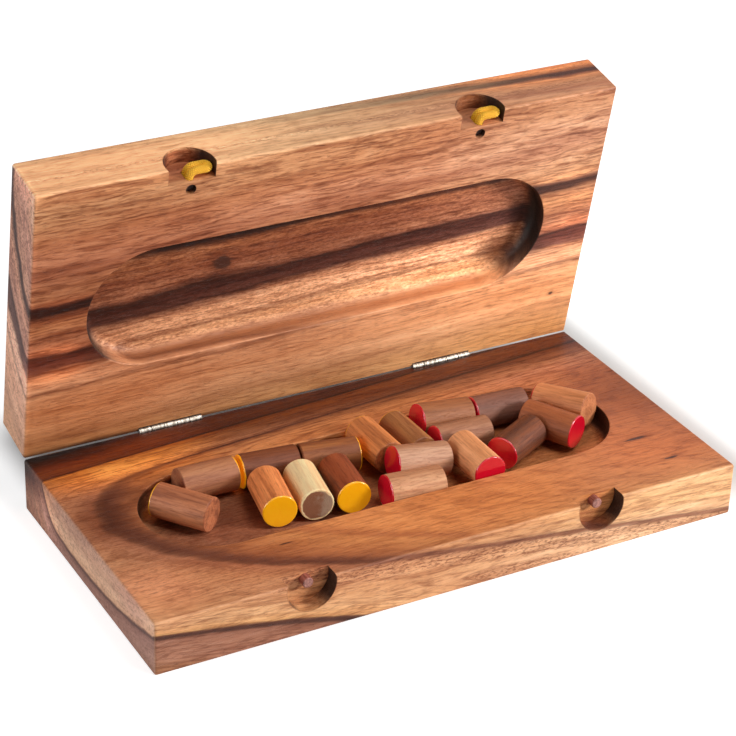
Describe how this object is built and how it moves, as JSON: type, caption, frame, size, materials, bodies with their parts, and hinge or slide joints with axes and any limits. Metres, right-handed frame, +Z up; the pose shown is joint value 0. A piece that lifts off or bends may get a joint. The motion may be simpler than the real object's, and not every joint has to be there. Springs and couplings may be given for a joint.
{
  "type": "nine mens morris box",
  "caption": "Folding wooden nine men's morris box: two hinged halves with a tray of coloured cylindrical men between them and the playing field engraved outside.",
  "frame": {"origin": "middle of the base half's flat underside, which is half of the playing field", "axes": "+Z up, X along the hinge and the box's length, -Y towards the user and the finger notches"},
  "size_m": [0.23, 0.1352, 0.1375],
  "materials": {
    "base_wood": "satin oiled hardwood",
    "lid_wood": "satin oiled hardwood",
    "peg_wood": "satin",
    "cord": "woven elastic cord",
    "hinge_brass": "plated, satin",
    "steel": "bright",
    "brass_screw": "satin",
    "yellow_ended_wood": "bare wood, one end painted",
    "red_ended_wood": "bare wood, one end painted"
  },
  "bodies": {
    "base": {"base_half": "base_wood", "catch_peg_left": "peg_wood", "catch_peg_right": "peg_wood", "hinge_base_leaf_left": "hinge_brass", "hinge_base_leaf_right": "hinge_brass", "hinge_pin_left": "steel", "hinge_pin_right": "steel", "hinge_base_screws": "brass_screw"},
    "lid": {"lid_half": "lid_wood", "cord_loop_left": "cord", "cord_loop_right": "cord", "cord_anchor_left": "peg_wood", "cord_anchor_right": "peg_wood", "hinge_lid_leaf_left": "hinge_brass", "hinge_lid_leaf_right": "hinge_brass", "hinge_lid_screws": "brass_screw"},
    "yellow_man_1": {"yellow_man_1": "yellow_ended_wood"},
    "yellow_man_2": {"yellow_man_2": "yellow_ended_wood"},
    "yellow_man_3": {"yellow_man_3": "yellow_ended_wood"},
    "yellow_man_4": {"yellow_man_4": "yellow_ended_wood"},
    "yellow_man_5": {"yellow_man_5": "yellow_ended_wood"},
    "yellow_man_6": {"yellow_man_6": "yellow_ended_wood"},
    "yellow_man_7": {"yellow_man_7": "yellow_ended_wood"},
    "yellow_man_8": {"yellow_man_8": "yellow_ended_wood"},
    "yellow_man_9": {"yellow_man_9": "yellow_ended_wood"},
    "red_man_1": {"red_man_1": "red_ended_wood"},
    "red_man_2": {"red_man_2": "red_ended_wood"},
    "red_man_3": {"red_man_3": "red_ended_wood"},
    "red_man_4": {"red_man_4": "red_ended_wood"},
    "red_man_5": {"red_man_5": "red_ended_wood"},
    "red_man_6": {"red_man_6": "red_ended_wood"},
    "red_man_7": {"red_man_7": "red_ended_wood"},
    "red_man_8": {"red_man_8": "red_ended_wood"},
    "red_man_9": {"red_man_9": "red_ended_wood"}
  },
  "joints": [
    {"name": "lid_fold", "type": "hinge", "parent": "base", "child": "lid", "pos_m": [0, 0.05758, 0.02085], "axis": [-1, 0, 0], "range_deg": [-78.6, 101.4]},
    {"name": "yellow_man_1_lift", "type": "slide", "parent": "base", "child": "yellow_man_1", "axis": [0, 0, 1], "range_m": [0, 0.03]},
    {"name": "yellow_man_2_lift", "type": "slide", "parent": "base", "child": "yellow_man_2", "axis": [0, 0, 1], "range_m": [0, 0.03]},
    {"name": "yellow_man_3_lift", "type": "slide", "parent": "base", "child": "yellow_man_3", "axis": [0, 0, 1], "range_m": [0, 0.03]},
    {"name": "yellow_man_4_lift", "type": "slide", "parent": "base", "child": "yellow_man_4", "axis": [0, 0, 1], "range_m": [0, 0.03]},
    {"name": "yellow_man_5_lift", "type": "slide", "parent": "base", "child": "yellow_man_5", "axis": [0, 0, 1], "range_m": [0, 0.03]},
    {"name": "yellow_man_6_lift", "type": "slide", "parent": "base", "child": "yellow_man_6", "axis": [0, 0, 1], "range_m": [0, 0.03]},
    {"name": "yellow_man_7_lift", "type": "slide", "parent": "base", "child": "yellow_man_7", "axis": [0, 0, 1], "range_m": [0, 0.03]},
    {"name": "yellow_man_8_lift", "type": "slide", "parent": "base", "child": "yellow_man_8", "axis": [0, 0, 1], "range_m": [0, 0.03]},
    {"name": "yellow_man_9_lift", "type": "slide", "parent": "base", "child": "yellow_man_9", "axis": [0, 0, 1], "range_m": [0, 0.03]},
    {"name": "red_man_1_lift", "type": "slide", "parent": "base", "child": "red_man_1", "axis": [0, 0, 1], "range_m": [0, 0.03]},
    {"name": "red_man_2_lift", "type": "slide", "parent": "base", "child": "red_man_2", "axis": [0, 0, 1], "range_m": [0, 0.03]},
    {"name": "red_man_3_lift", "type": "slide", "parent": "base", "child": "red_man_3", "axis": [0, 0, 1], "range_m": [0, 0.03]},
    {"name": "red_man_4_lift", "type": "slide", "parent": "base", "child": "red_man_4", "axis": [0, 0, 1], "range_m": [0, 0.03]},
    {"name": "red_man_5_lift", "type": "slide", "parent": "base", "child": "red_man_5", "axis": [0, 0, 1], "range_m": [0, 0.03]},
    {"name": "red_man_6_lift", "type": "slide", "parent": "base", "child": "red_man_6", "axis": [0, 0, 1], "range_m": [0, 0.03]},
    {"name": "red_man_7_lift", "type": "slide", "parent": "base", "child": "red_man_7", "axis": [0, 0, 1], "range_m": [0, 0.03]},
    {"name": "red_man_8_lift", "type": "slide", "parent": "base", "child": "red_man_8", "axis": [0, 0, 1], "range_m": [0, 0.03]},
    {"name": "red_man_9_lift", "type": "slide", "parent": "base", "child": "red_man_9", "axis": [0, 0, 1], "range_m": [0, 0.03]}
  ]
}
